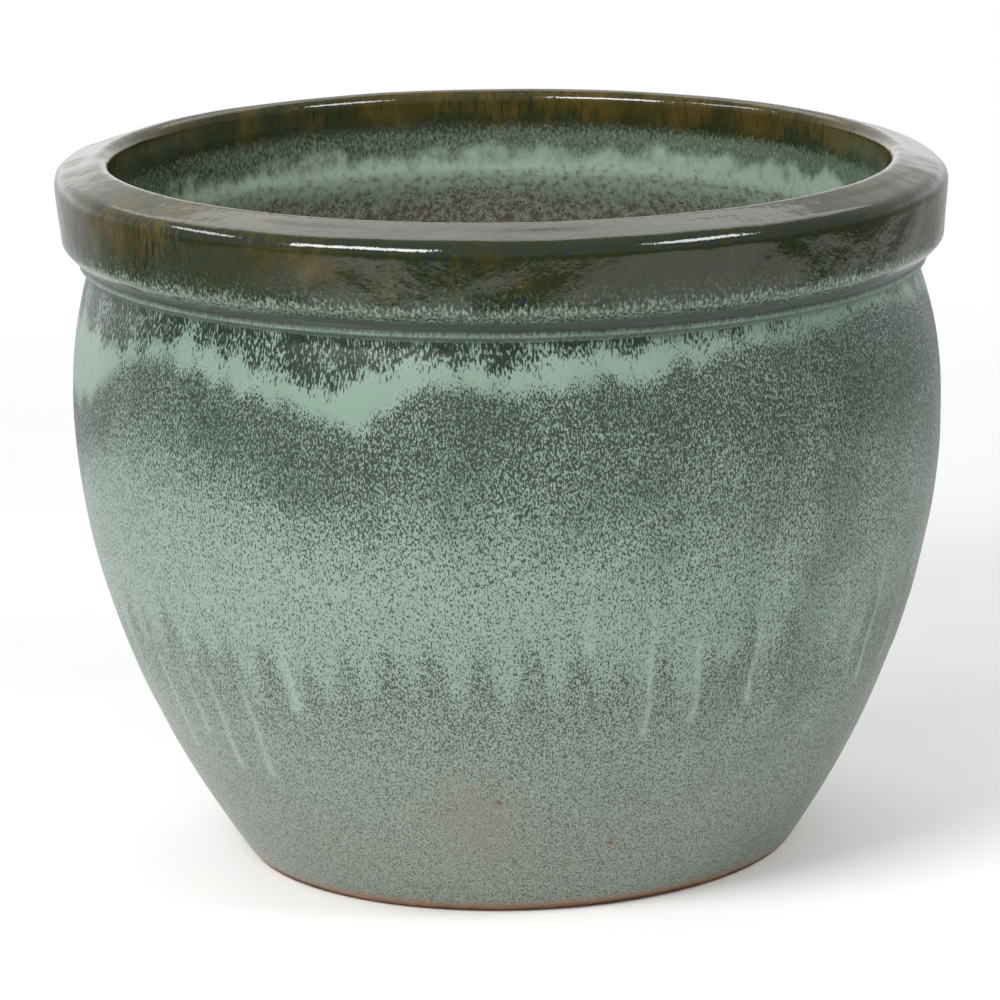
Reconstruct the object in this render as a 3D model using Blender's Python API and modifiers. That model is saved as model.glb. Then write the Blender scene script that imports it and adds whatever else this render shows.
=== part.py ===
"""A glazed planter pot, 400 mm across its collar and 316 mm tall, in metres with +Z up and the origin at the
centre of its underside. It is built the way a potter builds a pot of this size: five clay members luted
together, and three coats of glaze over them. Each member and coat is a section turned round the Z axis."""

from math import cos, pi, radians, sin, tan

import bpy
import numpy as np

# The finished outside, glaze included.
FOOT_RADIUS = 0.124
BELLY_RADIUS = 0.1955
BELLY_HEIGHT = 0.209
NECK_RADIUS = 0.1835
NECK_HEIGHT = 0.272

# The collar, from the neck outwards and upwards.
COLLAR_OVERHANG = 0.0165
COLLAR_HEIGHT = 0.044
COLLAR_TAPER = 0.0025  # how far its face draws in towards the lower edge
TOP_FALL = radians(17)  # how steeply its top falls away from the lip
LIP_FLARE = 0.0048  # how much wider the mouth is at the lip than at the neck
FLARE_SHARE = 0.6  # how far up the collar the mouth reaches its full width
FLARE_ROUND = 0.02
LIP_ROUND = 0.005
SHOULDER_ROUND = 0.007
LOWER_ROUND = 0.004

# The cordon, a coil of clay in the corner under the collar.
CORDON_PROUD = 0.0058  # how far the groove above its ridge stands out from the neck
CORDON_RIDGE = 0.0006  # how far the ridge stands out from that groove
CORDON_DROP = 0.005  # from the groove down to the foot of the ridge

# Clay, glaze and the drain.
WALL = 0.009
SLAB = 0.013
GLAZE = 0.0008
FLOOR_ROUND = 0.012
DRAIN_RADIUS = 0.014
DRAIN_EDGE = 0.002  # bare clay round the drain hole, inside
RECESS = 0.003  # how far the middle of the underside is raised
RESTING_RING = 0.018  # width of the ring that the pot stands on
HEEL_BEVEL = 0.002
GLAZE_LINE = 0.005  # bare clay at the foot

# Joints between the clay members.
GAP = 0.0003  # clearance between neighbours
LAP = 0.005  # how far a half lap overlaps
COLLAR_SEAT = 0.004  # seat of the collar above the neck
SLAB_STEP = 0.004  # how far the slab's middle stands up inside the wall
TOE_RUN = 0.022  # height over which the inside wall turns into the floor

STEPS = 40  # round the axis
ARC_TURN = radians(22)  # of each step in a rounded corner
MERGE = 0.00002

SKIN = GLAZE + GAP
INSIDE = 2 * SKIN + WALL
SEAT = NECK_HEIGHT + COLLAR_SEAT
RIM_RADIUS = NECK_RADIUS + COLLAR_OVERHANG
POT_HEIGHT = NECK_HEIGHT + COLLAR_HEIGHT
FLOOR = SLAB + SKIN


def inset(path, depth):
    """The path moved square to itself, to the right of its run, with mitred corners."""
    run = np.diff(path, axis=0)
    run /= np.linalg.norm(run, axis=1)[:, None]
    side = np.column_stack([run[:, 1], -run[:, 0]])
    both = np.vstack([side[:1], side]) + np.vstack([side, side[-1:]])
    return path + depth * both * 2 / np.sum(both**2, axis=1)[:, None]


def between(path, low, high):
    """The stretch of a rising path from one height to another, with a point at each end."""
    radii, heights = path.T
    low_radius, high_radius = np.interp([low, high], heights, radii)
    middle = path[(heights > low) & (heights < high)]
    return np.vstack([[low_radius, low], middle, [high_radius, high]])


def below(path, high):
    """The stretch of a rising path up to a height, with a point there."""
    radii, heights = path.T
    return np.vstack([path[heights < high], [[np.interp(high, heights, radii), high]]])


def rounded(corners):
    """The path through corners given as radius, height and rounding, with an arc in each rounded corner."""
    spots = np.array([corner[:2] for corner in corners])
    path = [spots[0]]
    for before, spot, after, corner in zip(spots, spots[1:], spots[2:], corners[1:]):
        arrive = (spot - before) / np.linalg.norm(spot - before)
        leave = (after - spot) / np.linalg.norm(after - spot)
        turn = np.arctan2(arrive[0] * leave[1] - arrive[1] * leave[0], arrive @ leave)
        start = spot - arrive * corner[2] * tan(abs(turn) / 2)
        centre = start + np.array([-arrive[1], arrive[0]]) * corner[2] * np.sign(turn)
        for angle in np.linspace(0, turn, 1 + max(1, round(abs(turn) / ARC_TURN))):
            spin = np.array([[cos(angle), -sin(angle)], [sin(angle), cos(angle)]])
            path.append(centre + spin @ (start - centre))
    path.append(spots[-1])
    return np.array(path)


def wall(depth, low, high):
    """The rising surface that lies this deep inside the finished outside. Below the belly the outside is a
    parabola that draws in to the foot, and above it a flatter one that draws in to the neck."""
    lower = np.linspace(-BELLY_HEIGHT / 8, BELLY_HEIGHT, 10)
    upper = np.linspace(BELLY_HEIGHT, 2 * NECK_HEIGHT - BELLY_HEIGHT, 7)[1:]
    draw_in = np.concatenate([
        (BELLY_RADIUS - FOOT_RADIUS) * (1 - lower / BELLY_HEIGHT) ** 2,
        (BELLY_RADIUS - NECK_RADIUS) * ((upper - BELLY_HEIGHT) / (NECK_HEIGHT - BELLY_HEIGHT)) ** 2,
    ])
    outside = np.column_stack([BELLY_RADIUS - draw_in, np.concatenate([lower, upper])])
    return between(inset(outside, -depth), low, high)


def radius_at(height, depth):
    return wall(depth, height, height + LAP)[0, 0]


def inner_outline():
    """The finished inside, from the drain across the floor and up the wall, past the seat of the collar."""
    turned = FLOOR + TOE_RUN
    corner = (radius_at(FLOOR, INSIDE), FLOOR, FLOOR_ROUND)
    toe = [(DRAIN_RADIUS + DRAIN_EDGE, FLOOR, 0), corner, (radius_at(turned, INSIDE), turned, 0)]
    return np.vstack([rounded(toe), wall(INSIDE, turned, SEAT + LAP)[1:]])


def collar_outline():
    """The finished collar, up its inner face, over the lip and down its outer face to the neck."""
    inner = radius_at(SEAT, INSIDE)
    mouth = inner + LIP_FLARE
    lip = POT_HEIGHT - LIP_ROUND + LIP_ROUND * tan((pi / 2 + TOP_FALL) / 2)
    shoulder = lip - (RIM_RADIUS - mouth) * tan(TOP_FALL)
    face_end = RIM_RADIUS - COLLAR_TAPER
    groove = NECK_RADIUS + CORDON_PROUD
    return rounded([
        (inner, SEAT, 0),
        (mouth, SEAT + FLARE_SHARE * COLLAR_HEIGHT, FLARE_ROUND),
        (mouth, lip, LIP_ROUND),
        (RIM_RADIUS, shoulder, SHOULDER_ROUND),
        (face_end, NECK_HEIGHT + face_end - groove, LOWER_ROUND),
        (groove, NECK_HEIGHT, 0),
    ])


def body_outline():
    """The finished outside below the collar: the groove, the ridge and the wall down to the glaze line."""
    groove = NECK_RADIUS + CORDON_PROUD
    foot_of_ridge = NECK_HEIGHT - CORDON_DROP
    ridge = [groove, NECK_HEIGHT - GAP], [groove + CORDON_RIDGE, NECK_HEIGHT - CORDON_DROP / 2]
    return np.vstack([ridge, wall(0, GLAZE_LINE, foot_of_ridge)[::-1]])


def coat(outline):
    """A closed layer of glaze under this stretch of the finished surface."""
    return np.vstack([outline, inset(outline, GLAZE)[::-1]])


def inner_coat():
    """The layer of glaze inside, cut level under the collar's coat."""
    front, back = inner_outline(), inset(inner_outline(), GLAZE)
    return np.vstack([below(front, SEAT - GAP), below(back, SEAT - GAP)[::-1]])


def base_slab():
    outside = wall(SKIN, HEEL_BEVEL, SLAB - SLAB_STEP)
    ring = radius_at(0, SKIN) - HEEL_BEVEL
    step = toe_radius() - GAP
    rest = [
        [ring, 0],
        [ring - RESTING_RING, 0],
        [ring - RESTING_RING - RECESS, RECESS],
        [DRAIN_RADIUS, RECESS],
        [DRAIN_RADIUS, SLAB],
        [step, SLAB],
        [step, SLAB - SLAB_STEP],
    ]
    return np.vstack([outside[::-1], rest])


def toe_radius():
    """Where the lower wall's toe ends on the slab, at the start of the round inside the pot."""
    return inner_outline()[1, 0]


def lower_wall():
    seam = radius_at(BELLY_HEIGHT, SKIN + WALL / 2)
    inside = inset(inner_outline()[1:], SKIN)
    toe = [[inside[0, 0], SLAB - SLAB_STEP + GAP]]
    tongue = [[seam, BELLY_HEIGHT + LAP - GAP], [seam, BELLY_HEIGHT - GAP]]
    outside = wall(SKIN, SLAB - SLAB_STEP + GAP, BELLY_HEIGHT - GAP)
    return np.vstack([outside[::-1], toe, below(inside, BELLY_HEIGHT + LAP - GAP), tongue])


def upper_wall():
    lower_seam = radius_at(BELLY_HEIGHT, SKIN + WALL / 2) + GAP
    upper_seam = radius_at(SEAT, SKIN + WALL / 2)
    outside = wall(SKIN, BELLY_HEIGHT, SEAT + LAP)
    lap = [[lower_seam, BELLY_HEIGHT], [lower_seam, BELLY_HEIGHT + LAP]]
    tongue = [[upper_seam, SEAT], [upper_seam, SEAT + LAP]]
    inside = wall(SKIN + WALL, BELLY_HEIGHT + LAP, SEAT)
    return np.vstack([outside[::-1], lap, inside, tongue])


def rim_collar():
    """The collar, with a groove in its underside that goes down over the upper wall's tongue."""
    clay = inset(collar_outline(), SKIN)
    clay[0] = [clay[0, 0], SEAT + GAP]
    clay[-1] = np.array([clay[-1, 0] + SEAT - clay[-1, 1], SEAT])  # the underside cuts the slanting face here
    seam = radius_at(SEAT, SKIN + WALL / 2) - GAP
    groove = wall(SKIN - GAP, SEAT, SEAT + LAP + GAP)
    return np.vstack([clay, groove, [[seam, SEAT + LAP + GAP], [seam, SEAT + GAP]]])


def neck_cordon():
    """The coil under the collar, between the collar's underside and the upper wall."""
    ridge, foot = NECK_HEIGHT - CORDON_DROP / 2, NECK_HEIGHT - CORDON_DROP
    groove = NECK_RADIUS + CORDON_PROUD
    surface = np.array([
        [groove + 2 * COLLAR_SEAT, NECK_HEIGHT + 2 * COLLAR_SEAT],
        [groove, NECK_HEIGHT],
        [groove + CORDON_RIDGE, ridge],
        [radius_at(foot, 0), foot],
    ])
    top, low = SEAT - GAP, (ridge + foot) / 2
    face = between(inset(surface, SKIN)[::-1], low, top)
    return np.vstack([face[::-1], wall(SKIN - GAP, low, top)])


def material(name, colour, roughness):
    made = bpy.data.materials.new(name)
    made.use_nodes = True
    shader = made.node_tree.nodes["Principled BSDF"]
    shader.inputs["Base Color"].default_value = (*colour, 1)
    shader.inputs["Roughness"].default_value = roughness
    made.diffuse_color = (*colour, 1)
    return made


def turned(name, section, finish, collection):
    """A closed section, which runs down its outer side, turned once round the Z axis."""
    mesh = bpy.data.meshes.new(name)
    count = len(section)
    edges = [(index, (index + 1) % count) for index in range(count)]
    mesh.from_pydata([(radius, 0, height) for radius, height in section], edges, [])
    mesh.materials.append(finish)
    piece = bpy.data.objects.new(name, mesh)
    collection.objects.link(piece)
    screw = piece.modifiers.new("Turned", "SCREW")
    screw.angle = 2 * pi
    screw.steps = screw.render_steps = STEPS
    screw.use_merge_vertices = True
    screw.merge_threshold = MERGE
    screw.use_smooth_shade = True
    return piece


def main():
    for old in list(bpy.data.objects):
        bpy.data.objects.remove(old, do_unlink=True)
    pot = bpy.data.collections.new("glazed_planter_pot")
    bpy.context.scene.collection.children.link(pot)

    clay = material("fired_clay", (0.36, 0.19, 0.11), 0.85)
    celadon = material("celadon_glaze", (0.24, 0.36, 0.29), 0.3)
    olive = material("olive_glaze", (0.045, 0.045, 0.02), 0.1)
    inside = material("inner_glaze", (0.15, 0.19, 0.14), 0.35)

    turned("base_slab", base_slab(), clay, pot)
    turned("lower_wall", lower_wall(), clay, pot)
    turned("upper_wall", upper_wall(), clay, pot)
    turned("neck_cordon", neck_cordon(), clay, pot)
    turned("rim_collar", rim_collar(), clay, pot)
    turned("body_glaze", coat(body_outline()), celadon, pot)
    turned("collar_glaze", coat(collar_outline()), olive, pot)
    turned("inner_glaze", inner_coat(), inside, pot)


main()
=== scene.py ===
"""The looks of a glazed planter pot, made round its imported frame.

Every piece is a section carried once round the pot's axis, so its surface is a function of two
parameters: how far along the section, and how far round. The glazes are stoneware glazes that ran in
the kiln, so their bands, runs and breaks are worked out from height and angle, in millimetres and
degrees."""

import bpy
import numpy as np
from bpy.props import FloatProperty, FloatVectorProperty, IntProperty, PointerProperty
from mathutils import Euler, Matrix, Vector


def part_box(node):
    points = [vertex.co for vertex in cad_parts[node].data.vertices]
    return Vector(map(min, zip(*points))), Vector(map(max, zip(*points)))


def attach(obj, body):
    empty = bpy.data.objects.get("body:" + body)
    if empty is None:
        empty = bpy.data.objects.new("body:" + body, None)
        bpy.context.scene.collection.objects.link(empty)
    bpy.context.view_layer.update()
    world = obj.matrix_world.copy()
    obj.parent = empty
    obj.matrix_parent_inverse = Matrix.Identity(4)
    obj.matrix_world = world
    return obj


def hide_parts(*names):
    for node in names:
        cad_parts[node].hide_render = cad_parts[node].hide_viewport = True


bl_info = {
    "name": "Glazed Planter Pot",
    "version": (1, 0, 0),
    "blender": (4, 5, 0),
    "location": "View3D > Sidebar > Planter",
    "description": "Makes a glazed stoneware planter and a small studio to show it in",
    "category": "Object",
}

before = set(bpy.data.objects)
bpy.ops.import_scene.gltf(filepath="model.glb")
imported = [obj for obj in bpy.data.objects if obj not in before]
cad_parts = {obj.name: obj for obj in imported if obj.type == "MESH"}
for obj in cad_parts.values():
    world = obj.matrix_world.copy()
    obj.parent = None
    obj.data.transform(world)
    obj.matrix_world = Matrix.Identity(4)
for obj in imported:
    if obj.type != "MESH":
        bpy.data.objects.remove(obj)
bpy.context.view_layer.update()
COLLAR_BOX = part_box("collar_glaze")
BODY_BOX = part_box("body_glaze")
SLAB_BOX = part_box("base_slab")

MM = 0.001
POT_TOP = COLLAR_BOX[1][2]
RIM_RADIUS = COLLAR_BOX[1][0]
BELLY_RADIUS = BODY_BOX[1][0]
GLAZE_LINE = BODY_BOX[0][2]
SLAB_TOP = SLAB_BOX[1][2]
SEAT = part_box("inner_glaze")[1][2]

BELLY_HEIGHT = 209 * MM
NECK_RADIUS = 183.5 * MM
NECK_HEIGHT = 272 * MM
FOOT_RADIUS = 124 * MM
GROOVE_RADIUS = 189.3 * MM  # of the groove under the collar
RIDGE_RADIUS = 190 * MM  # of the cordon under that groove
RIDGE_HEIGHT = 269.5 * MM
RIDGE_FOOT = 267 * MM
FACE_FOOT_RADIUS = 197.3 * MM  # of the collar's face at its lower edge
COAT = 0.8 * MM  # thickness of the glaze
SKIN = 1.1 * MM  # from the finished surface to the clay behind it
WALL = 11.8 * MM  # from the finished outside to the finished inside
MOUTH_FLARE = 4.8 * MM
FLARE_SHARE = 0.6  # of the collar's height that flares
TOP_FALL = np.tan(np.radians(17))  # of the collar's top, outwards
CROWN = 1.7 * MM  # that the lip's corners stand proud before they are rounded
THROAT_DEPTH = 15 * MM  # under the collar's seat, where the rounding of the throat begins
CUT_GAP = 0.02 * MM  # left where two coats meet
DRAIN_RADIUS = 14 * MM
RECESS = 3 * MM  # of the underside, inside its resting ring
RING_WIDTH = 18 * MM

FACE_ROWS = 122  # steps along the finished face of the two celadon coats
COLLAR_ROWS = 112
BACK_ROWS = 28  # steps along the back of a coat
EASED_ROWS = 3  # over which relief starts at the edge of a coat
SLAB_ROWS = 150
SLAB_COLUMNS = 360


def hex_colour(code):
    """An sRGB hex colour as linear red, green, blue and alpha."""
    parts = np.array([int(code[place : place + 2], 16) for place in (1, 3, 5)]) / 255
    linear = np.where(parts <= 0.04045, parts / 12.92, ((parts + 0.055) / 1.055) ** 2.4)
    return (*linear.tolist(), 1.0)


def smooth(value, low, high):
    """0 below low, 1 above high, and an S-shaped rise between them."""
    share = np.clip((value - low) / (high - low), 0, 1)
    return share * share * (3 - 2 * share)


def bump_of(value, middle, width):
    """1 at the middle, falling to 0 on both sides as a bell of this width."""
    return np.exp(-(((value - middle) / width) ** 2))


def turn_between(angle, middle):
    """The signed angle from middle to angle, the short way round."""
    return (angle - middle + np.pi) % (2 * np.pi) - np.pi


def uneven(angle, height, turns, spans, seed, count=14):
    """A smooth uneven field between about -1 and 1: a sum of sine waves, each with a whole number of
    turns round the pot, so that it closes on itself, and with a slant that gives it a wave length up
    the wall."""
    dice = np.random.default_rng(seed)
    field = 0
    for _ in range(count):
        round_pot = dice.integers(*turns, endpoint=True)
        climb = dice.choice([-1, 1]) * 2 * np.pi / dice.uniform(*spans)
        field = field + np.sin(round_pot * angle + climb * height + dice.uniform(0, 2 * np.pi))
    return np.tanh(field / np.sqrt(count))


def rounded(corners, arc_steps=10):
    """The path through corners given as radius, height and rounding, with an arc in each corner."""
    spots = np.array([corner[:2] for corner in corners])
    path = [spots[:1]]
    for before, spot, after, corner in zip(spots, spots[1:], spots[2:], corners[1:]):
        arrive = (spot - before) / np.linalg.norm(spot - before)
        leave = (after - spot) / np.linalg.norm(after - spot)
        turn = np.arctan2(arrive[0] * leave[1] - arrive[1] * leave[0], arrive @ leave)
        start = spot - arrive * corner[2] * np.tan(abs(turn) / 2)
        side = np.array([-arrive[1], arrive[0]]) * np.sign(turn)
        swing = np.linspace(0, abs(turn), arc_steps)[:, None]
        path.append(start + corner[2] * (np.sin(swing) * arrive + (1 - np.cos(swing)) * side))
    return np.vstack([*path, spots[-1:]])


def spaced(path, count):
    """The path as this many points, evenly far apart along it."""
    along = np.concatenate([[0], np.cumsum(np.linalg.norm(np.diff(path, axis=0), axis=1))])
    places = np.linspace(0, along[-1], count)
    return np.column_stack([np.interp(places, along, path[:, axis]) for axis in (0, 1)])


def bent(path, count):
    """The path as this many points, closer together where it bends."""
    steps = np.linalg.norm(np.diff(path, axis=0), axis=1)
    run = np.arctan2(np.diff(path[:, 1]), np.diff(path[:, 0]))
    turns = np.abs((np.diff(run, prepend=run[0]) + np.pi) % (2 * np.pi) - np.pi)
    along = np.concatenate([[0], np.cumsum(steps / steps.sum() + turns / turns.sum())])
    places = np.linspace(0, along[-1], count)
    return np.column_stack([np.interp(places, along, path[:, axis]) for axis in (0, 1)])


def outward(path):
    """Unit vectors square to a path that runs clockwise round its section, pointing out of the clay."""
    run = np.gradient(path, axis=0)
    run /= np.linalg.norm(run, axis=1)[:, None]
    return np.column_stack([-run[:, 1], run[:, 0]])


def wall_radius(height, depth=0.0):
    """The finished outside: a parabola that draws in from the belly to the foot, and a flatter one that
    draws in to the neck. Depth is measured square to the wall."""
    above = height > BELLY_HEIGHT
    reach = np.where(above, NECK_HEIGHT - BELLY_HEIGHT, BELLY_HEIGHT)
    draw = np.where(above, BELLY_RADIUS - NECK_RADIUS, BELLY_RADIUS - FOOT_RADIUS)
    share = (height - BELLY_HEIGHT) / reach
    return BELLY_RADIUS - draw * share**2 - depth * np.sqrt(1 + (2 * draw * share / reach) ** 2)


def wall_path(low, high, depth=0.0, count=60):
    """The wall as points between two heights, evenly far apart in height."""
    heights = np.linspace(low, high, count)
    return np.column_stack([wall_radius(heights, depth), heights])


def rim_path():
    """The finished throat and collar, up the inner face, over the lip and down to the groove outside."""
    low = SEAT - THROAT_DEPTH
    inner = wall_radius(np.array(SEAT), WALL)
    mouth = inner + MOUTH_FLARE
    lip = POT_TOP + CROWN
    rim = RIM_RADIUS + 0.4 * MM
    return rounded([
        (wall_radius(np.array(low), WALL), low, 0),
        (inner, SEAT, 14 * MM),
        (mouth, SEAT + FLARE_SHARE * (POT_TOP - NECK_HEIGHT), 50 * MM),
        (mouth, lip, 5 * MM),
        (rim, lip - (RIM_RADIUS - mouth) * TOP_FALL, 7 * MM),
        (FACE_FOOT_RADIUS, NECK_HEIGHT + FACE_FOOT_RADIUS - GROOVE_RADIUS, 5 * MM),
        (GROOVE_RADIUS, NECK_HEIGHT, 0),
    ])


def parted():
    """The rim's path in two parts, below and above the collar's seat."""
    path = rim_path()
    first = np.argmax(path[:, 1] > SEAT)
    radius, height = path[first - 1 : first + 1].T
    seam = np.interp(SEAT, height, radius)
    return np.vstack([path[:first], [seam, SEAT - CUT_GAP]]), np.vstack([[seam, SEAT], path[first:]])


def body_path():
    """The finished outside below the collar, down over the cordon to the glaze line."""
    under = RIDGE_FOOT - 6 * MM
    neck = rounded([
        (GROOVE_RADIUS, NECK_HEIGHT - CUT_GAP, 0),
        (RIDGE_RADIUS, RIDGE_HEIGHT, 1.2 * MM),
        (wall_radius(np.array(RIDGE_FOOT)), RIDGE_FOOT, 3 * MM),
        (wall_radius(np.array(under)), under, 0),
    ])
    return np.vstack([neck, wall_path(GLAZE_LINE - 2 * MM, under - 0.5 * MM, count=120)[::-1]])


def inner_path():
    """The finished inside, from the drain across the floor, round the corner and up to the seat."""
    floor = SLAB_TOP + SKIN
    turned = floor + 22 * MM
    toe = rounded([
        (DRAIN_RADIUS + 2 * MM, floor, 0),
        (wall_radius(np.array(floor), WALL), floor, 12 * MM),
        (wall_radius(np.array(turned), WALL), turned, 0),
    ])
    return np.vstack([toe, wall_path(turned + MM, SEAT - THROAT_DEPTH - MM, WALL), parted()[0]])


def hand_made(points):
    """A pot thrown by hand: the collar sits a little out of level, and the pot is a trace out of round."""
    x, y, z = points[..., 0], points[..., 1], points[..., 2]
    angle = np.arctan2(x, -y)
    swell = 1 + 0.0012 * np.sin(2 * angle + 0.7) + 0.0008 * np.sin(3 * angle + 2.1)
    tilt = bpy.context.scene.planter_shape.collar_tilt
    lean = z - tilt * x * smooth(z, 180 * MM, 262 * MM)
    return np.stack([x * swell, y * swell, lean], axis=-1)


def grid(section, columns):
    """The angle, height and radius of each point of a section carried round, for working out fields."""
    angle = np.linspace(0, 2 * np.pi, columns, endpoint=False)[None, :]
    return angle, section[:, 1:] + 0 * angle, section[:, :1] + 0 * angle


def turned_piece(name, section, relief, fields, columns):
    """A closed skin made from a section that is closed on itself, carried once round the axis. Relief
    lifts each point square to the section, in metres, and fields are its painted values, one per
    point."""
    angle, height, radius = grid(section, columns)
    normal = outward(section)
    radius = radius + normal[:, :1] * relief
    height = height + normal[:, 1:] * relief
    points = hand_made(np.stack([radius * np.sin(angle), -radius * np.cos(angle), height], axis=-1))
    index = np.arange(len(section) * columns).reshape(-1, columns)
    below = np.roll(index, -1, axis=0)
    quads = np.stack([index, below, np.roll(below, -1, axis=1), np.roll(index, -1, axis=1)], axis=-1)
    mesh = bpy.data.meshes.new(name)
    mesh.vertices.add(index.size)
    mesh.vertices.foreach_set("co", points.astype(np.float32).ravel())
    mesh.loops.add(4 * index.size)
    mesh.loops.foreach_set("vertex_index", quads.astype(np.int32).ravel())
    mesh.polygons.add(index.size)
    mesh.polygons.foreach_set("loop_start", np.arange(0, 4 * index.size, 4, dtype=np.int32))
    mesh.update(calc_edges=True)
    mesh.validate()
    mesh.shade_smooth()
    mesh.set_sharp_from_angle(angle=np.radians(40))
    for field, values in fields.items():
        layer = mesh.attributes.new(field, "FLOAT", "POINT")
        layer.data.foreach_set("value", np.broadcast_to(values, index.shape).astype(np.float32).ravel())
    piece = bpy.data.objects.new(name, mesh)
    bpy.context.scene.collection.objects.link(piece)
    return piece


def finish_piece(piece, finish, slot, *nodes):
    """Gives a piece its material, hangs it under the root, and hides the CAD nodes that it stands for."""
    piece.data.materials.clear()
    piece.data.materials.append(finish)
    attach(piece, "root")
    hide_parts(*nodes)


def coat_section(path, rows):
    """A layer of glaze: its finished face, spaced evenly, and its back against the clay."""
    face = spaced(path, rows)
    back = bent(face - outward(face) * COAT, BACK_ROWS)[::-1]
    return np.vstack([face, back])


def face_only(rows, back_rows=BACK_ROWS):
    """1 on the finished face of a skin and 0 on its back, easing in over the first and last rows."""
    place = np.arange(rows)
    eased = smooth(np.minimum(place, rows - 1 - place), 0, EASED_ROWS)
    return np.concatenate([eased, np.zeros(back_rows)])[:, None]


# ---------------------------------------------------------------- materials


def start_material(name):
    """An empty node material, with its tree, its shader and the piece's own coordinates in metres."""
    made = bpy.data.materials.new(name)
    made.use_nodes = True
    tree = made.node_tree
    tree.nodes.clear()
    shader = add(tree, "BsdfPrincipled")
    output = add(tree, "OutputMaterial")
    tree.links.new(shader.outputs[0], output.inputs["Surface"])
    place = add(tree, "TexCoord").outputs["Object"]
    return made, tree, shader, place


def add(tree, kind, options=None, inputs=None):
    """Adds a node. Options are its settings, with a colour ramp's stops as pairs of place and colour.
    Inputs are its sockets by name or number, each with a value or with the output that feeds it."""
    made = tree.nodes.new("ShaderNode" + kind)
    options = dict(options or {})
    stops = options.pop("stops", ())
    for name, value in options.items():
        setattr(made, name, value)
    for place, (position, colour) in enumerate(stops):
        ramp = made.color_ramp.elements
        stop = ramp[place] if place < 2 else ramp.new(position)
        stop.position = position
        stop.color = colour
    for key, value in (inputs or {}).items():
        socket = made.inputs[key]
        if isinstance(value, bpy.types.NodeSocket):
            tree.links.new(value, socket)
        else:
            socket.default_value = value
    return made


def grain(tree, place, size, stretch=1.0, detail=2.0, rough=0.5):
    """Noise whose grains are this size in metres, and this many times as tall as they are wide."""
    scaled = add(tree, "Mapping", {"vector_type": "POINT"}, {"Vector": place, "Scale": (1, 1, 1 / stretch)})
    sizes = {"Vector": scaled.outputs[0], "Scale": 1 / size, "Detail": detail, "Roughness": rough}
    return add(tree, "TexNoise", None, sizes).outputs["Fac"]


def cut(tree, noise, amount, soft=0.05, reach=0.5):
    """A mask from noise: nothing at an amount of 0, then more and more of its grains, and all at 1."""
    eased = {"interpolation_type": "SMOOTHSTEP"}
    lifted = add(tree, "Math", {"operation": "MULTIPLY_ADD"}, {0: amount, 1: reach, 2: noise})
    edge = 0.5 + reach / 2
    begun = add(tree, "MapRange", eased, {0: amount, "From Max": 0.12}).outputs[0]
    ranges = {0: lifted.outputs[0], "From Min": edge - soft, "From Max": edge + soft, "To Max": begun}
    return add(tree, "MapRange", eased, ranges).outputs[0]


def painted(tree, field):
    """One of the values that a piece carries at its points, from 0 to 1."""
    return add(tree, "Attribute", {"attribute_name": field, "attribute_type": "GEOMETRY"}).outputs["Fac"]


def layer(tree, below, above, amount):
    """One colour laid over another by an amount. Either may be a colour or the output that gives it."""
    mix = add(tree, "Mix", {"data_type": "RGBA"}, {0: amount, 6: below, 7: above})
    return mix.outputs[2]


def celadon_material(colours):
    """A satin stoneware celadon, sprayed and run in the kiln. It is opaque and pale where it lies
    thick, breaks to fine dark iron flecks where it is thin, and streaks to near black where the
    collar's glaze ran into it."""
    made, tree, shader, place = start_material("stoneware_celadon_glaze")
    names = ("dash", "lace", "fleck", "tone", "low", "run", "bare", "blush", "neck", "edge")
    field = {name: painted(tree, name) for name in names}
    cloud = grain(tree, place, 30 * MM, detail=3)
    # The tone field is partly the glaze's own tone and partly painted shade on the pot's right side.
    tone_and_shade = cut(tree, cloud, field["tone"], soft=0.22, reach=0.6)
    colour = layer(tree, colours.celadon, colours.celadon_deep, tone_and_shade)
    colour = layer(tree, colour, colours.stone, field["low"])
    colour = layer(tree, colour, colours.lace, field["lace"])
    fine = grain(tree, place, 0.68 * MM, stretch=1.9, detail=1.5, rough=0.6)
    flecks = cut(tree, fine, field["fleck"], soft=0.09, reach=0.36)
    dark = layer(tree, colours.fleck, colours.umber, field["low"])
    colour = layer(tree, colour, dark, flecks)
    colour = layer(tree, colour, colours.bead, field["run"])
    streaks = grain(tree, place, 0.85 * MM, stretch=4.4, detail=1.8, rough=0.55)
    dashes = cut(tree, streaks, field["dash"], soft=0.07, reach=0.5)
    colour = layer(tree, colour, colours.iron, dashes)
    blotch = grain(tree, place, 5 * MM, detail=4, rough=0.65)
    bloom = cut(tree, blotch, field["blush"], soft=0.3, reach=0.5)
    colour = layer(tree, colour, colours.blush, bloom)
    blotch = cut(tree, blotch, field["bare"], soft=0.14, reach=0.5)
    colour = layer(tree, colour, colours.rust, blotch)
    # Painted shade: grey in the groove and on the cordon under the collar, broken by the streak noise.
    worn = cut(tree, streaks, field["neck"], soft=0.3, reach=0.6)
    colour = layer(tree, colour, colours.groove, worn)
    colour = layer(tree, colour, colours.clay, field["edge"])
    tree.links.new(colour, shader.inputs["Base Color"])
    gloss = {0: flecks, "To Min": 0.32, "To Max": 0.42}
    tree.links.new(add(tree, "MapRange", None, gloss).outputs[0], shader.inputs["Roughness"])
    relief = add(tree, "Bump", None, {"Strength": 0.2, "Distance": 0.2 * MM, "Height": flecks})
    peel = grain(tree, place, 6 * MM, detail=1)
    skin = {"Strength": 0.2, "Distance": 0.5 * MM, "Height": peel, "Normal": relief.outputs[0]}
    tree.links.new(add(tree, "Bump", None, skin).outputs[0], shader.inputs["Normal"])
    shader.inputs["IOR"].default_value = 1.5
    return made


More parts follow.
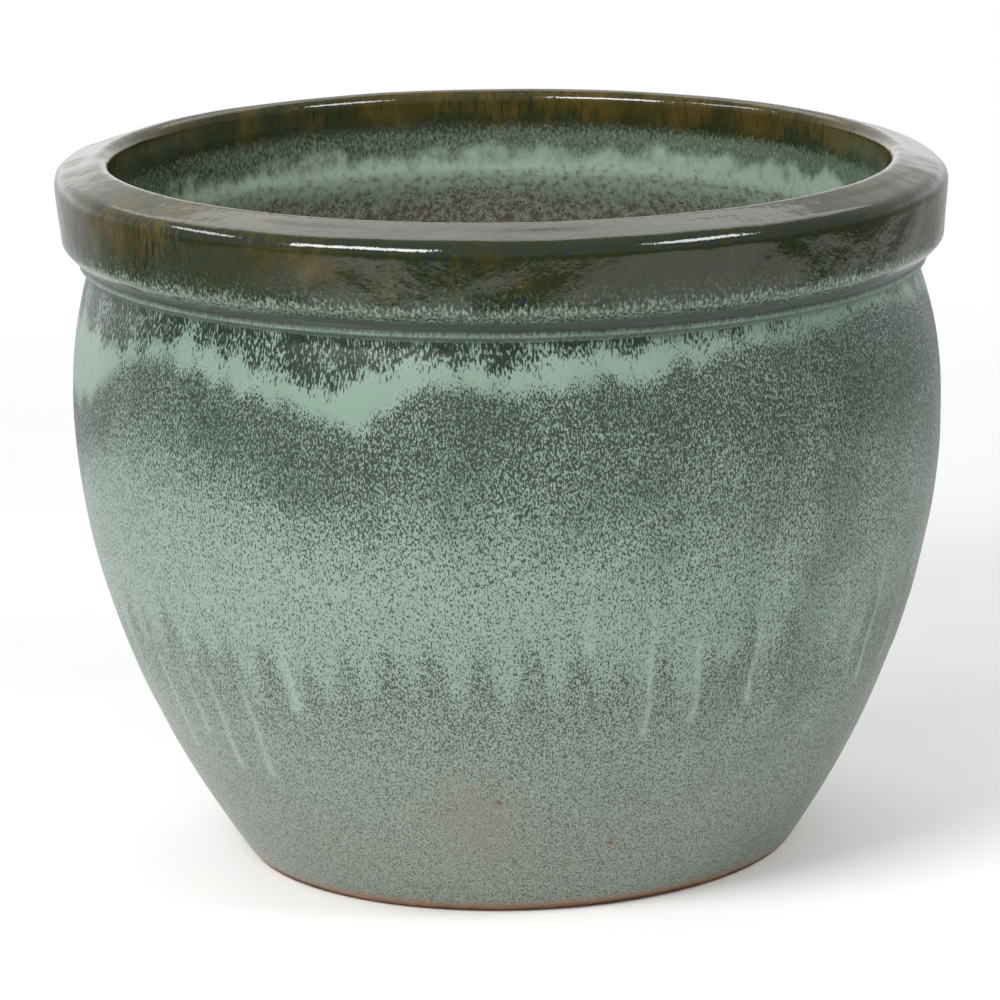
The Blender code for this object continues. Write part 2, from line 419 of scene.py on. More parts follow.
def olive_material(colours):
    """A glossy iron-olive stoneware glaze over the collar. It is thick, dark and glassy on the face,
    browner where it is thin on the edges, and breaks into pale streaks where it runs off the collar's
    lower edge."""
    made, tree, shader, place = start_material("stoneware_olive_glaze")
    names = ("low", "strip", "under", "navy", "warm", "dark", "thin", "milk", "spots")
    field = {name: painted(tree, name) for name in names}
    cloud = grain(tree, place, 18 * MM, stretch=1.6, detail=4, rough=0.6)
    colour = layer(tree, colours.olive, colours.olive_brown, cut(tree, cloud, field["warm"], soft=0.2))
    drawn = grain(tree, place, 1.6 * MM, stretch=6, detail=3, rough=0.6)
    colour = layer(tree, colour, colours.iron, cut(tree, drawn, field["dark"], soft=0.16, reach=0.5))
    specks = grain(tree, place, 1.2 * MM, stretch=1.7, detail=3, rough=0.65)
    colour = layer(tree, colour, colours.navy, cut(tree, drawn, field["navy"], soft=0.12, reach=0.5))
    colour = layer(tree, colour, colours.streak, cut(tree, specks, field["low"], soft=0.14, reach=0.5))
    colour = layer(tree, colour, colours.lace, cut(tree, specks, field["strip"], soft=0.16, reach=0.5))
    # Painted shade on the underside of the collar, in dark grey.
    colour = layer(tree, colour, colours.groove, field["under"])
    milky = grain(tree, place, 8 * MM, stretch=1.5, detail=5, rough=0.65)
    colour = layer(tree, colour, colours.milk, cut(tree, milky, field["milk"], soft=0.26, reach=0.7))
    coarse = grain(tree, place, 3.4 * MM, detail=3, rough=0.6)
    colour = layer(tree, colour, colours.rust_dark, cut(tree, coarse, field["spots"], soft=0.2, reach=0.5))
    colour = layer(tree, colour, colours.rust, cut(tree, coarse, field["thin"], soft=0.12, reach=0.5))
    tree.links.new(colour, shader.inputs["Base Color"])
    gloss = {0: field["under"], "To Min": 0.07, "To Max": 0.3}
    tree.links.new(add(tree, "MapRange", None, gloss).outputs[0], shader.inputs["Roughness"])
    ripple = grain(tree, place, 14 * MM, detail=1.5)
    relief = add(tree, "Bump", None, {"Strength": 0.3, "Distance": 1.2 * MM, "Height": ripple})
    pitted = grain(tree, place, 3 * MM, detail=3, rough=0.6)
    fine = {"Strength": 0.4, "Distance": 0.3 * MM, "Height": pitted, "Normal": relief.outputs[0]}
    tree.links.new(add(tree, "Bump", None, fine).outputs[0], shader.inputs["Normal"])
    shader.inputs["IOR"].default_value = 1.5
    return made


def inner_material(colours):
    """The same celadon inside, where less was sprayed: streaked with olive from the lip, pale in an
    uneven band, then mottled with rust and thinning to a dry brown wash over the clay of the floor."""
    made, tree, shader, place = start_material("stoneware_inner_glaze")
    field = {name: painted(tree, name) for name in ("milk", "spots", "wash")}
    cloud = grain(tree, place, 20 * MM, detail=4, rough=0.6)
    base = cut(tree, cloud, field["wash"], soft=0.25, reach=0.9)
    colour = layer(tree, colours.inner, colours.wash, base)
    fine = grain(tree, place, 1.2 * MM, stretch=1.3, detail=2.5, rough=0.62)
    colour = layer(tree, colour, colours.fleck, cut(tree, fine, 0.3, soft=0.1, reach=0.36))
    milky = grain(tree, place, 8 * MM, stretch=1.5, detail=5, rough=0.65)
    colour = layer(tree, colour, colours.milk, cut(tree, milky, field["milk"], soft=0.26, reach=0.7))
    coarse = grain(tree, place, 3.4 * MM, detail=3, rough=0.6)
    colour = layer(tree, colour, colours.rust_dark, cut(tree, coarse, field["spots"], soft=0.2, reach=0.5))
    tree.links.new(colour, shader.inputs["Base Color"])
    gloss = {0: field["wash"], "To Min": 0.12, "To Max": 0.6}
    tree.links.new(add(tree, "MapRange", None, gloss).outputs[0], shader.inputs["Roughness"])
    relief = add(tree, "Bump", None, {"Strength": 0.3, "Distance": 0.5 * MM, "Height": cloud})
    tree.links.new(relief.outputs[0], shader.inputs["Normal"])
    shader.inputs["IOR"].default_value = 1.5
    return made


def clay_material(colours):
    """Fired brown stoneware clay, turned and left bare: matt, sandy with grog, with dark iron specks."""
    made, tree, shader, place = start_material("fired_stoneware_clay")
    cloud = grain(tree, place, 15 * MM, detail=5, rough=0.6)
    colour = layer(tree, colours.clay, colours.clay_pale, cut(tree, cloud, 0.5, soft=0.2))
    grit = grain(tree, place, 0.7 * MM, detail=3, rough=0.7)
    colour = layer(tree, colour, colours.iron, cut(tree, grit, 0.18, soft=0.05, reach=0.4))
    tree.links.new(colour, shader.inputs["Base Color"])
    rough = {0: grit, "To Min": 0.75, "To Max": 0.95}
    tree.links.new(add(tree, "MapRange", None, rough).outputs[0], shader.inputs["Roughness"])
    relief = add(tree, "Bump", None, {"Strength": 0.6, "Distance": 0.4 * MM, "Height": grit})
    tree.links.new(relief.outputs[0], shader.inputs["Normal"])
    return made


def shared(name, maker, context):
    """The material of this name, made the first time that a piece asks for it."""
    return bpy.data.materials.get(name) or maker(context.scene.planter_glaze)


# ---------------------------------------------------------------- how the glaze ran

# Where the pale lace ends, round the pot: degrees from the front, and millimetres up the wall.
LACE_EDGE = (
    (-165, 243), (-150, 236), (-132, 247), (-116, 232), (-100, 226), (-77, 220), (-66, 230), (-60, 242),
    (-51, 251), (-44, 252), (-40, 246), (-30, 242), (-24, 239), (-19, 233), (-15, 242), (-10, 250),
    (-2, 249), (13, 254), (17, 250), (22, 256), (34, 262), (58, 267), (75, 260), (95, 254), (112, 241),
    (126, 251), (140, 238), (156, 232), (170, 248),
)
# Where the dark dashes give way to the lace.
DASH_EDGE = (
    (-165, 252), (-150, 244), (-132, 254), (-116, 247), (-100, 242), (-77, 247), (-63, 243), (-55, 247),
    (-47, 256), (-41, 253), (-30, 246), (-22, 241), (-18, 250), (-10, 256), (-2, 252), (4, 253),
    (10, 260), (16, 256), (20, 261), (30, 257), (60, 259), (95, 257), (112, 250), (126, 257),
    (140, 246), (156, 243), (170, 255),
)
# Where the dark flecks have thinned out below.
FLECK_EDGE = (
    (-150, 168), (-100, 176), (-60, 220), (-53, 210), (-40, 193), (-27, 180), (0, 176), (25, 152),
    (52, 124), (100, 150), (140, 182),
)
# Pale runs on the body, each as degrees from the front, then the millimetres up of its top and foot.
RUNS = (
    (-60.5, 116, 68), (-54, 106, 79), (-48.5, 108, 65), (-41.5, 103, 64), (-32.5, 128, 101),
    (9.5, 150, 131), (18, 136, 89), (25, 128, 93), (34, 128, 97),
)
# Iron spots where the glaze blistered: degrees, millimetres up, millimetres across.
IRON_SPOTS = ((31, 63.5, 5), (48.5, 67.5, 6), (15, 35, 4), (-3.5, 60, 4), (140, 90, 6), (-110, 120, 5))


def edge_height(points, angle):
    """A height read round the pot between listed points, in metres."""
    degrees, heights = np.array(points, float).T
    return np.interp(np.degrees(angle), degrees, heights, period=360) * MM


def all_runs():
    """The placed runs of the front, and others of the same kind round the sides and back."""
    dice = np.random.default_rng(7)
    others = [
        (middle + dice.uniform(-5, 5), dice.uniform(105, 140), dice.uniform(62, 98))
        for middle in range(58, 295, 13)
    ]
    return [*RUNS, *others]


def beside(angle, degrees, height):
    """How far round the body a point lies from a line up the wall, in metres."""
    return turn_between(angle, np.radians(degrees)) * wall_radius(height)


def body_fields(angle, height):
    """How the celadon lies: each field goes from 0 to 1."""
    ragged = uneven(angle, height, (30, 90), (0.02, 0.1), 3) * 1.8 * MM
    wavy = uneven(angle, height, (5, 16), (0.2, 0.9), 4) * 2.5 * MM
    lace_edge = edge_height(LACE_EDGE, angle) + wavy + ragged
    dash_edge = edge_height(DASH_EDGE, angle) + uneven(angle, 0, (20, 90), (1, 2), 9) * 3 * MM
    cloudy = uneven(angle, height, (3, 12), (0.1, 0.5), 5) * 7 * MM
    fleck_edge = edge_height(FLECK_EDGE, angle) + cloudy
    thick = smooth(height, dash_edge - 6 * MM, dash_edge + 9 * MM)
    density = 0.64 + 0.12 * uneven(angle, height, (12, 60), (0.03, 0.2), 6)
    sparse = 0.32 * bump_of(turn_between(angle, np.radians(48)), 0, np.radians(20))
    dash = thick * (density - sparse)
    worn = 0.2 * bump_of(turn_between(angle, np.radians(-48)), 0, np.radians(18))
    lace = (0.9 - worn) * smooth(height, lace_edge - 7 * MM, lace_edge + 4 * MM) * (1 - 0.4 * thick)
    below = smooth(lace_edge - height, -3 * MM, 8 * MM)
    fade = smooth(height, fleck_edge - 28 * MM, lace_edge - 14 * MM)
    # The spray ended low on the wall in a fringe of drips, and lies thinner below it.
    drips = uneven(angle, 0, (24, 60), (1, 2), 13) * 15 * MM
    curtain = 124 * MM + uneven(angle, 0, (5, 14), (1, 2), 12) * 8 * MM + drips
    bottom = smooth(curtain - height, -8 * MM, 14 * MM)
    hanging = bottom * smooth(height, 70 * MM, 125 * MM)
    side = np.sin(angle - 0.35)
    peppered = 0.1 * smooth(side, 0, 0.8) * (1 - fade)
    fleck = below * (0.3 + 0.36 * fade + 0.1 * bottom + 0.12 * hanging + peppered)
    fleck = fleck + 0.3 * worn * (1 - below)
    # The side term deepens the tone towards the right and a little behind, away from the stronger left
    # softbox: painted shade over the glaze's own uneven tone.
    tone = 0.2 + 0.3 * fade + 0.6 * side * (1 - fade)
    tone = tone + 0.15 * uneven(angle, height, (6, 30), (0.15, 0.8), 8)
    low = 0.85 * smooth(-height, -135 * MM, -25 * MM) + 0.12 * bottom
    # Less of the paler stone towards the right darkens the lower wall there: painted shade.
    low = low * (1 - 0.45 * smooth(side, 0, 0.8))
    run = 0 * angle
    for degrees, top, foot in all_runs():
        aside = beside(angle, degrees, height) + 0.7 * MM * np.sin(height / (6 * MM) + degrees)
        width = (1.3 + 0.9 * smooth(-height, -(foot + 12) * MM, -foot * MM)) * MM
        begun = 1 - smooth(height, (top - 22) * MM, (top + 32) * MM)
        down = smooth(height, (foot - 2) * MM, (foot + 1.5) * MM) * begun
        run = np.maximum(run, 0.62 * down * bump_of(aside, 0, width))
    bloom = turn_between(angle, np.radians(-7.5)) * 150 * MM
    blush = 0.55 * bump_of(bloom, 0, 20 * MM) * bump_of(height, 50 * MM, 22 * MM)
    bare = 0 * angle
    for degrees, up, across in IRON_SPOTS:
        away = np.hypot(beside(angle, degrees, height), height - up * MM)
        bare = np.maximum(bare, 0.9 * smooth(-away, -across * MM / 1.5, 0))
    # The groove and cordon under the collar go dark grey: painted shade in the groove, lifted on the crest
    # of the cordon.
    neck = smooth(height, RIDGE_FOOT - MM, RIDGE_FOOT + MM)
    neck = neck * (0.95 - 0.65 * bump_of(height, RIDGE_HEIGHT, 1.0 * MM))
    return {
        "dash": dash * (1 - smooth(height, RIDGE_FOOT, RIDGE_FOOT + MM)),
        "lace": lace,
        "fleck": fleck,
        "tone": np.clip(tone, 0, 1),
        "low": low,
        "run": run,
        "bare": bare,
        "blush": blush,
        "neck": neck,
        "edge": 0.8 * (1 - smooth(height, GLAZE_LINE - 2 * MM, GLAZE_LINE + MM)),
    }


def shade_inside(angle):
    """1 on the inside's left, towards the back, where the lamps on the left leave the wall in shade, and 0
    on the other side: it drives painted shade.
    """
    return 0.5 + 0.5 * np.cos(turn_between(angle, np.radians(-110)))


def collar_fields(angle, height, radius, outside):
    """How the collar's glaze lies: each field goes from 0 to 1. Outside is 1 on the outer face."""
    inside = 1 - outside
    throat = inside * (1 - smooth(radius, 176 * MM, 180 * MM))
    # The pale glazes and the browner olive inside are held back where shade is 1: painted shade on the
    # inside's left.
    shade = shade_inside(angle)
    face = outside * smooth(radius, 190 * MM, 196 * MM)
    edge = 284 * MM + uneven(angle, 0, (20, 90), (1, 2), 21) * 1.2 * MM
    seat = smooth(-height, -286 * MM, -SEAT)
    inner_edge = 291 * MM + uneven(angle, 0, (8, 50), (1, 2), 24) * 3 * MM
    broken = inside * smooth(inner_edge - height, -3 * MM, 6 * MM)
    low = outside * (0.04 + 0.26 * smooth(-height, -297 * MM, -285 * MM))
    low_inside = inside * smooth(-height, -304 * MM, -294 * MM) * (0.95 - 0.45 * shade)
    strip = outside * 0.42 * smooth(edge - height, -3 * MM, 3 * MM)
    strip_inside = inside * smooth(-height, -303 * MM, -293 * MM) * (0.24 - 0.16 * shade)
    edges = bump_of(height, 308 * MM, 3 * MM) + bump_of(height, edge + MM, 2.5 * MM)
    left = bump_of(turn_between(angle, np.radians(-55)), 0, np.radians(24))
    left = left * smooth(height, 286 * MM, 303 * MM)
    warm = 0.1 + 0.46 * left + 0.12 * uneven(angle, height, (2, 9), (0.05, 0.3), 23)
    warm_inside = (0.85 - 0.4 * shade) * throat * smooth(height, 296 * MM, 310 * MM)
    dark = 0.3 + 0.15 * uneven(angle, height, (4, 20), (0.05, 0.2), 22)
    return {
        "low": np.maximum(low, low_inside),
        "strip": np.maximum(strip, strip_inside),
        # Painted shade: the lower part of the collar's underside, down into the groove, goes dark grey.
        "under": outside * smooth(-height, -277.5 * MM, -275.5 * MM),
        "navy": 0.4 * face * edges,
        "warm": np.maximum(warm, warm_inside),
        "dark": dark - 0.04 * throat,
        "thin": 0.16 * bump_of(height, POT_TOP, 1.2 * MM),
        "milk": broken * (0.85 - 0.45 * shade) * (1 - seat) + inside * seat,
        "spots": 0.3 * broken * smooth(-height, -288 * MM, -272 * MM),
    }


def inner_fields(angle, height):
    """How the inside's glaze lies: each field goes from 0 to 1."""
    band = 264 * MM + uneven(angle, height, (3, 14), (0.1, 0.5), 31) * 6 * MM
    seat = smooth(height, SEAT - 9 * MM, SEAT)
    # Less milk on the inside's left: painted shade.
    milk = (0.85 - 0.45 * shade_inside(angle)) * smooth(height, band - 8 * MM, band + 8 * MM)
    under = smooth(-height, -272 * MM, -255 * MM)
    deep = smooth(-height, -200 * MM, -100 * MM)
    wash = 0.35 * smooth(-height, -268 * MM, -250 * MM)
    return {
        "milk": milk * (1 - seat) + seat,
        "spots": 0.3 + 0.18 * under - 0.2 * deep,
        "wash": wash + 0.6 * smooth(-height, -240 * MM, -90 * MM),
    }


class PLANTER_OT_body_coat(bpy.types.Operator):
    """Makes the celadon coat outside, from the groove under the collar to the glaze line at the foot"""

    bl_idname = "planter.body_coat"
    bl_label = "Body Coat"

    def execute(self, context):
        columns = context.scene.planter_shape.columns
        section = coat_section(body_path(), FACE_ROWS)
        angle, height, _ = grid(section, columns)
        fields = body_fields(angle, height)
        thrown = uneven(angle, height, (0, 5), (0.05, 0.2), 11) * 0.25 * MM
        beads = fields["run"] * 0.5 * MM + fields["lace"] * 0.2 * MM
        relief = face_only(FACE_ROWS) * (thrown + beads)
        piece = turned_piece("celadon_body_coat", section, relief, fields, columns)
        finish = shared("stoneware_celadon_glaze", celadon_material, context)
        finish_piece(piece, finish, "celadon_glaze", "body_glaze")
        return {"FINISHED"}


class PLANTER_OT_collar_coat(bpy.types.Operator):
    """Makes the olive coat over the collar, inside and out"""

    bl_idname = "planter.collar_coat"
    bl_label = "Collar Coat"

    def execute(self, context):
        columns = context.scene.planter_shape.columns
        section = coat_section(parted()[1], COLLAR_ROWS)
        angle, height, radius = grid(section, columns)
        rows = np.arange(len(section))[:, None] + 0 * angle
        outside = smooth(rows, COLLAR_ROWS * 0.46, COLLAR_ROWS * 0.5)
        fields = collar_fields(angle, height, radius, outside)
        wavy = uneven(angle, height, (12, 40), (0.02, 0.08), 25) * 0.12 * MM
        slow = uneven(angle, height, (3, 12), (0.07, 0.25), 26) * 0.4 * MM
        calm = 0.3 * (wavy + slow) + 0.1 * MM
        relief = face_only(COLLAR_ROWS) * (outside * (wavy + slow) + (1 - outside) * calm)
        piece = turned_piece("olive_collar_coat", section, relief, fields, columns)
        finish = shared("stoneware_olive_glaze", olive_material, context)
        finish_piece(piece, finish, "olive_glaze", "collar_glaze")
        return {"FINISHED"}


class PLANTER_OT_inner_coat(bpy.types.Operator):
    """Makes the coat inside, from the collar's seat down the wall and across the floor to the drain"""

    bl_idname = "planter.inner_coat"
    bl_label = "Inner Coat"

    def execute(self, context):
        columns = context.scene.planter_shape.columns
        section = coat_section(inner_path(), FACE_ROWS)
        angle, height, _ = grid(section, columns)
        thrown = uneven(angle, height, (0, 2), (0.012, 0.03), 32, 6) * 0.2 * MM
        slow = uneven(angle, height, (2, 8), (0.1, 0.3), 33) * 0.3 * MM
        wall_only = smooth(height, 20 * MM, 45 * MM)
        relief = face_only(FACE_ROWS) * wall_only * (0.6 * (thrown + slow) + 0.1 * MM)
        fields = inner_fields(angle, height)
        piece = turned_piece("celadon_inner_coat", section, relief, fields, columns)
        finish = shared("stoneware_inner_glaze", inner_material, context)
        finish_piece(piece, finish, "inner_glaze", "inner_glaze")
        return {"FINISHED"}


class PLANTER_OT_base_slab(bpy.types.Operator):
    """Makes the bare clay slab that the pot stands on, with its turned underside and its drain hole"""

    bl_idname = "planter.base_slab"
    bl_label = "Base Slab"

    def execute(self, context):
        foot = wall_radius(np.array(0.0), SKIN)
        ring = foot - 2 * MM - RING_WIDTH
        seat = SLAB_TOP - 4 * MM
        outer = wall_radius(np.array(seat), SKIN)
        step = 113 * MM
        underside = rounded([
            (outer, seat, 0),
            (foot, 0, 3 * MM),
            (ring, 0, 1.2 * MM),
            (ring - 4 * MM, RECESS, 1.5 * MM),
            (DRAIN_RADIUS, RECESS, 1.5 * MM),
            (DRAIN_RADIUS, SLAB_TOP, 1.5 * MM),
            (step, SLAB_TOP, 0),
        ], 6)
        face = spaced(underside, SLAB_ROWS)
        lap = [[step, SLAB_TOP - 2 * MM], [step, seat], [(step + outer) / 2, seat]]
        section = np.vstack([face, lap])
        angle, height, radius = grid(section, SLAB_COLUMNS)
        rings = np.sin(radius / (1.6 * MM) + 0.6 * np.sin(angle)) * 0.08 * MM
        worn = uneven(angle, radius, (3, 40), (0.02, 0.2), 41) * 0.18 * MM
        raised = smooth(height, 0.5 * MM, 2.5 * MM)
        turned = (0.3 + 0.7 * raised) * (rings + worn) - (1 - raised) * 0.12 * MM
        relief = face_only(SLAB_ROWS, len(lap)) * turned
        piece = turned_piece("turned_base_slab", section, relief, {}, SLAB_COLUMNS)
        finish = shared("fired_stoneware_clay", clay_material, context)
        finish_piece(piece, finish, "fired_clay", "base_slab")
        return {"FINISHED"}


class PLANTER_OT_clay_members(bpy.types.Operator):
    """Carries the walls, cordon and collar of bare clay over from the frame, leaning as the glaze does"""

    bl_idname = "planter.clay_members"
    bl_label = "Clay Members"

    def execute(self, context):
        finish = shared("fired_stoneware_clay", clay_material, context)
        for node in ("lower_wall", "upper_wall", "neck_cordon", "rim_collar"):
            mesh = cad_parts[node].data.copy()
            mesh.name = "clay_" + node
            piece = bpy.data.objects.new("clay_" + node, mesh)
            context.scene.collection.objects.link(piece)
            flat = np.empty(3 * len(mesh.vertices), np.float32)
            mesh.vertices.foreach_get("co", flat)
            leaning = hand_made(flat.reshape(-1, 3)).astype(np.float32)
            mesh.vertices.foreach_set("co", leaning.ravel())
            mesh.update()
            finish_piece(piece, finish, "fired_clay", node)
        return {"FINISHED"}


class PLANTER_OT_studio(bpy.types.Operator):
    """Lays a pale floor, hangs soft lights and sets up the camera"""

    bl_idname = "planter.studio"
    bl_label = "Studio"

    def execute(self, context):
        studio = context.scene.planter_studio
        self.lay_floor(context)
        self.hang_lights(context, studio)
        self.light_world(context, studio)
        self.place_camera(context, studio)
        context.scene.view_settings.view_transform = "Standard"
        return {"FINISHED"}

    def lay_floor(self, context):
        """A pale sheet that ends a little in front of the pot, darkens well to its left, and fades into
        the backdrop behind it."""
        mesh = bpy.data.meshes.new("studio_floor")
        outline = [(-1.3, -0.8), (1.08, -1.05), (1.08, 3), (-0.6, 3), (-0.6, 0.35), (-1.3, 0.1)]
        corners = [(*spot, 0) for spot in outline]
        mesh.from_pydata(corners, [], [range(len(corners))])
        floor = bpy.data.objects.new("studio_floor", mesh)
        context.scene.collection.objects.link(floor)
        paper, tree, shader, place = start_material("white_studio_paper")
        tone = grain(tree, place, 60 * MM, detail=3)
        colour = layer(tree, hex_colour("#f6f6f4"), hex_colour("#f1f1f0"), tone)
        parts = add(tree, "SeparateXYZ", None, {0: place}).outputs
        aside = {0: parts["X"], "From Min": -0.5, "From Max": -0.85}
        shadow = add(tree, "MapRange", None, aside).outputs[0]
        colour = layer(tree, colour, hex_colour("#8f8f8c"), shadow)
        tree.links.new(colour, shader.inputs["Base Color"])
        shader.inputs["Roughness"].default_value = 0.9
        gone = {0: parts["Y"], "From Min": 0.15, "From Max": 1.3, "To Min": 1.0, "To Max": 0.0}
        fade = add(tree, "MapRange", {"interpolation_type": "SMOOTHSTEP"}, gone).outputs[0]
        tree.links.new(fade, shader.inputs["Alpha"])
        mesh.materials.append(paper)

    def hang_lights(self, context, studio):
        """Softboxes given by degrees round from the camera's side, degrees up, distance, width, height
        and watts."""
        boxes = {
            "left_softbox": (-38, 38, 1.6, 0.85, 0.4, studio.left_power),
            "right_softbox": (56, 40, 1.7, 0.7, 0.34, studio.right_power),
            "back_softbox": (178, 49, 2.4, 2.8, 1.0, studio.back_power),
            "side_softbox": (-88, 40, 1.6, 0.6, 0.2, studio.side_power),
        }
        target = (0, 0, 0.2)
        for name, (round_pot, up, distance, width, tall, watts) in boxes.items():
            lamp = bpy.data.lights.new(name, "AREA")
            lamp.shape = "RECTANGLE"
            lamp.size, lamp.size_y = width, tall
            lamp.energy = watts
            holder = bpy.data.objects.new(name, lamp)
            context.scene.collection.objects.link(holder)
            turn, lift = np.radians(round_pot), np.radians(up)
            level = distance * np.cos(lift)
            above = distance * np.sin(lift) + target[2]
            spot = (level * np.sin(turn), -level * np.cos(turn), above)
            self.aim(holder, spot, target)

    def aim(self, holder, spot, target, roll=0.0):
        """Puts a lamp or camera at a spot, looking at a target, turned by roll about its line of sight."""
        holder.location = spot
        look = Vector(target) - Vector(spot)
        turned = look.to_track_quat("-Z", "Y") @ Euler((0, 0, roll)).to_quaternion()
        holder.rotation_euler = turned.to_euler()

    def light_world(self, context, studio):
        """A studio with a pale backdrop behind the pot and a dim room in front of it."""
        world = bpy.data.worlds.new("studio_world")
        context.scene.world = world
        world.use_nodes = True
        tree = world.node_tree
        tree.nodes.clear()
        direction = add(tree, "TexCoord").outputs["Generated"]
        parts = add(tree, "SeparateXYZ", None, {0: direction})
        leftwards = {0: parts.outputs["X"], 1: -0.4, 2: 1.0}
        across = add(tree, "Math", {"operation": "MULTIPLY_ADD"}, leftwards)
        heights = {0: parts.outputs["Z"], "From Min": -0.5, "From Max": 1.0}
        height = add(tree, "MapRange", None, heights).outputs[0]
        greys = (
            (0.0, 0.45), (0.2, 0.5), (0.33, 0.8), (0.38, 1.1),
            (0.44, 1.0), (0.52, 0.6), (0.68, 0.4), (1.0, 0.3),
        )
        stops = [(position, (grey, grey, grey, 1)) for position, grey in greys]
        band = add(tree, "ValToRGB", {"stops": stops}, {0: height}).outputs[0]
        ranges = {0: parts.outputs["Y"], "From Min": 0.25, "From Max": 0.8, "To Max": studio.back}
        far = add(tree, "MapRange", {"interpolation_type": "SMOOTHSTEP"}, ranges)
        wide = add(tree, "Math", {"operation": "MULTIPLY"}, {0: far.outputs[0], 1: across.outputs[0]})
        above = {0: parts.outputs["Z"], "From Min": -0.1, "From Max": 0.1, "To Min": 0.1}
        room = add(tree, "MapRange", None, {**above, "To Max": studio.front}).outputs[0]
        glows = {0: wide.outputs[0], 1: band, 2: room}
        glow = add(tree, "Math", {"operation": "MULTIPLY_ADD"}, glows).outputs[0]
        white = hex_colour("#ffffff")
        lit = add(tree, "Background", None, {"Strength": glow, "Color": white})
        seen = add(tree, "Background", None, {"Strength": 1.0, "Color": white})
        path = add(tree, "LightPath").outputs["Is Camera Ray"]
        both = add(tree, "MixShader", None, {0: path, 1: lit.outputs[0], 2: seen.outputs[0]})
        output = add(tree, "OutputWorld")
        tree.links.new(both.outputs[0], output.inputs["Surface"])

    def place_camera(self, context, studio):
        """A camera at a distance from the point aimed at, looking down at it by the pitch."""
        lens = bpy.data.cameras.new("camera")
        lens.lens = studio.lens
        lens.sensor_width = 36
        lens.clip_end = 100
        camera = bpy.data.objects.new("camera", lens)
        context.scene.collection.objects.link(camera)
        pitch = studio.camera_pitch
        target = (studio.aim_aside, 0, studio.aim_height)
        away = studio.camera_distance * np.array([0, -np.cos(pitch), np.sin(pitch)])
        self.aim(camera, tuple(np.array(target) + away), target, -studio.camera_roll)
        context.scene.camera = camera


class PlanterShape(bpy.types.PropertyGroup):
    columns: IntProperty(name="Columns", description="Steps round each coat of glaze", default=640, min=48)
    collar_tilt: FloatProperty(
        name="Collar Tilt",
        description="How far out of level the collar was set, as rise over run",
        default=0.0227,
    )


def colour_choice(name, description, code):
    """A colour that a user may change, given as an sRGB hex code."""
    default = hex_colour(code)
    return FloatVectorProperty(name=name, description=description, subtype="COLOR", size=4, default=default)


class PlanterGlaze(bpy.types.PropertyGroup):
    celadon: colour_choice("Celadon", "Pale glaze of the body", "#85998f")
    # Also painted shade: the body deepens to this colour towards its right side.
    celadon_deep: colour_choice("Deep Celadon", "Greener glaze", "#6a8072")
    lace: colour_choice("Lace", "Thick pale glaze", "#7b9284")
    fleck: colour_choice("Fleck", "Fine dark flecks", "#29332b")
    iron: colour_choice("Iron", "Near-black iron streaks", "#19261b")
    rust: colour_choice("Rust", "Rust brown breaks", "#6b4a38")
    bead: colour_choice("Bead", "Runs, where the glaze is thickest", "#98ac9f")
    milk: colour_choice("Milk", "Milky clouds inside", "#889b8d")
    blush: colour_choice("Blush", "Faint brown bloom", "#7d7468")
    stone: colour_choice("Stone", "Greyer glaze low down", "#868f85")
    umber: colour_choice("Umber", "Browner flecks low down", "#4c5147")
    navy: colour_choice("Navy", "Blue-black breaks at edges", "#1a2630")
    rust_dark: colour_choice("Dark Rust", "Rust mottle inside", "#5c5042")
    # Painted shade: the dark grey of the groove and of the collar's underside.
    groove: colour_choice("Groove", "Thin grey glaze in the groove", "#3f4640")
    olive: colour_choice("Olive", "Glossy glaze of the collar", "#262b14")
    olive_brown: colour_choice("Olive Brown", "Warmer collar glaze", "#4c411b")
    streak: colour_choice("Streak", "Pale streaks on the collar", "#4f5e50")
    inner: colour_choice("Inner Glaze", "Thinner celadon inside", "#8a9484")
    wash: colour_choice("Wash", "Thin brown wash inside", "#5f5040")
    clay: colour_choice("Clay", "Bare fired clay", "#8a6248")
    clay_pale: colour_choice("Pale Clay", "Paler patches of clay", "#a5805f")


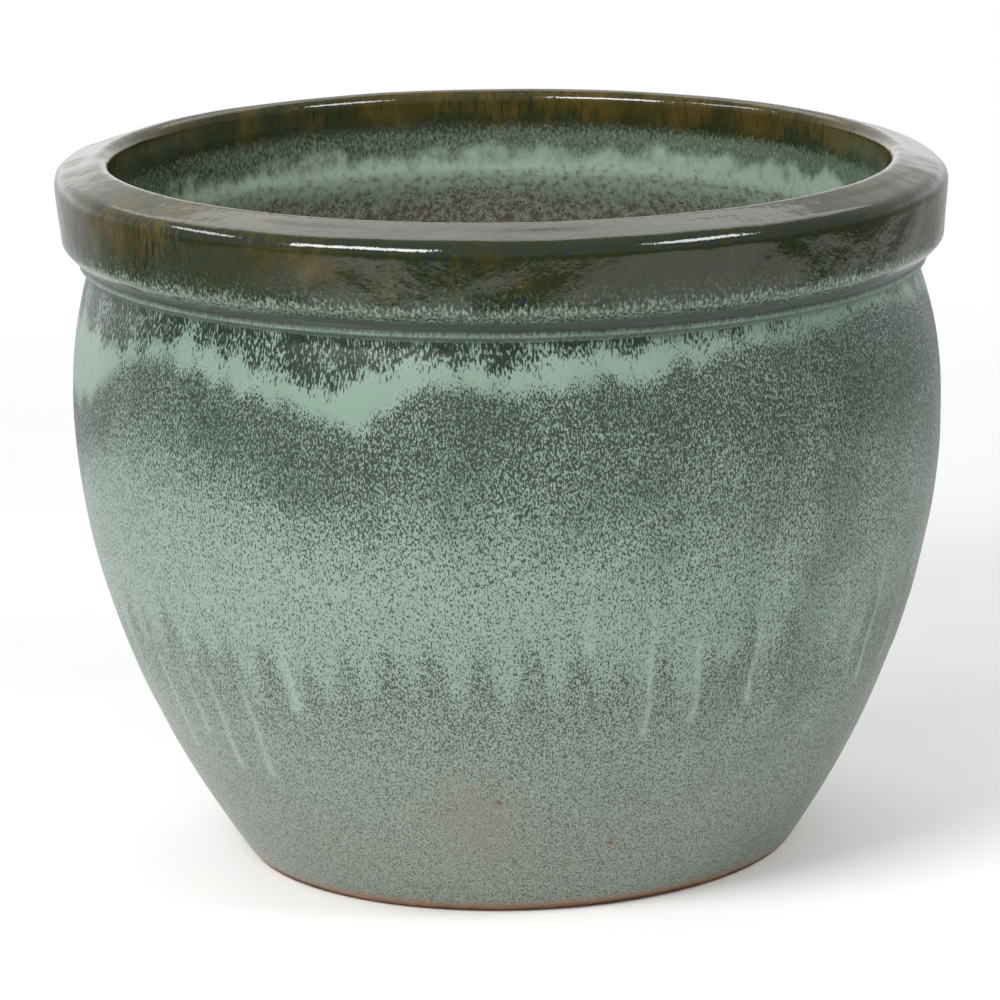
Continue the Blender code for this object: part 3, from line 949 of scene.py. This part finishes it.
class PlanterStudio(bpy.types.PropertyGroup):
    lens: FloatProperty(name="Lens", description="Focal length in millimetres", default=190.4)
    camera_distance: FloatProperty(name="Distance", description="Camera to pot", default=2.4, unit="LENGTH")
    camera_pitch: FloatProperty(
        name="Pitch", description="How far the camera looks down", default=0.2323, unit="ROTATION"
    )
    camera_roll: FloatProperty(
        name="Roll", description="Turn about the line of sight", default=0.034, unit="ROTATION"
    )
    aim_height: FloatProperty(
        name="Aim Height", description="Height looked at", default=0.1558, unit="LENGTH"
    )
    aim_aside: FloatProperty(name="Aim Aside", description="Sideways aim", default=-0.0049, unit="LENGTH")
    left_power: FloatProperty(name="Left Softbox", description="Power", default=22.0, unit="POWER")
    right_power: FloatProperty(name="Right Softbox", description="Power", default=12.0, unit="POWER")
    back_power: FloatProperty(name="Back Softbox", description="Power", default=12.0, unit="POWER")
    side_power: FloatProperty(name="Side Softbox", description="Power", default=4.0, unit="POWER")
    front: FloatProperty(name="Room", description="Light of the dim room in front", default=0.38)
    back: FloatProperty(name="Backdrop", description="Light of the pale backdrop behind", default=0.97)


class PLANTER_PT_panel(bpy.types.Panel):
    """Lists the pot's sizes, glazes and lights, and the steps that make it"""

    bl_label = "Glazed Planter Pot"
    bl_idname = "PLANTER_PT_panel"
    bl_space_type = "VIEW_3D"
    bl_region_type = "UI"
    bl_category = "Planter"

    def draw(self, context):
        for group in (getattr(context.scene, name) for name in GROUPS):
            box = self.layout.box()
            for name in group.__annotations__:
                box.prop(group, name)
        for step in STEPS:
            self.layout.operator(step.bl_idname)


GROUPS = {"planter_shape": PlanterShape, "planter_glaze": PlanterGlaze, "planter_studio": PlanterStudio}
STEPS = (
    PLANTER_OT_clay_members,
    PLANTER_OT_base_slab,
    PLANTER_OT_body_coat,
    PLANTER_OT_collar_coat,
    PLANTER_OT_inner_coat,
    PLANTER_OT_studio,
)


def register():
    for made in (*GROUPS.values(), *STEPS, PLANTER_PT_panel):
        bpy.utils.register_class(made)
    for name, group in GROUPS.items():
        setattr(bpy.types.Scene, name, PointerProperty(type=group))


def unregister():
    for name in GROUPS:
        delattr(bpy.types.Scene, name)
    for made in reversed((*GROUPS.values(), *STEPS, PLANTER_PT_panel)):
        bpy.utils.unregister_class(made)


def main():
    register()
    bpy.ops.planter.clay_members()
    bpy.ops.planter.base_slab()
    bpy.ops.planter.body_coat()
    bpy.ops.planter.collar_coat()
    bpy.ops.planter.inner_coat()
    bpy.ops.planter.studio()


if __name__ == "__main__":
    main()
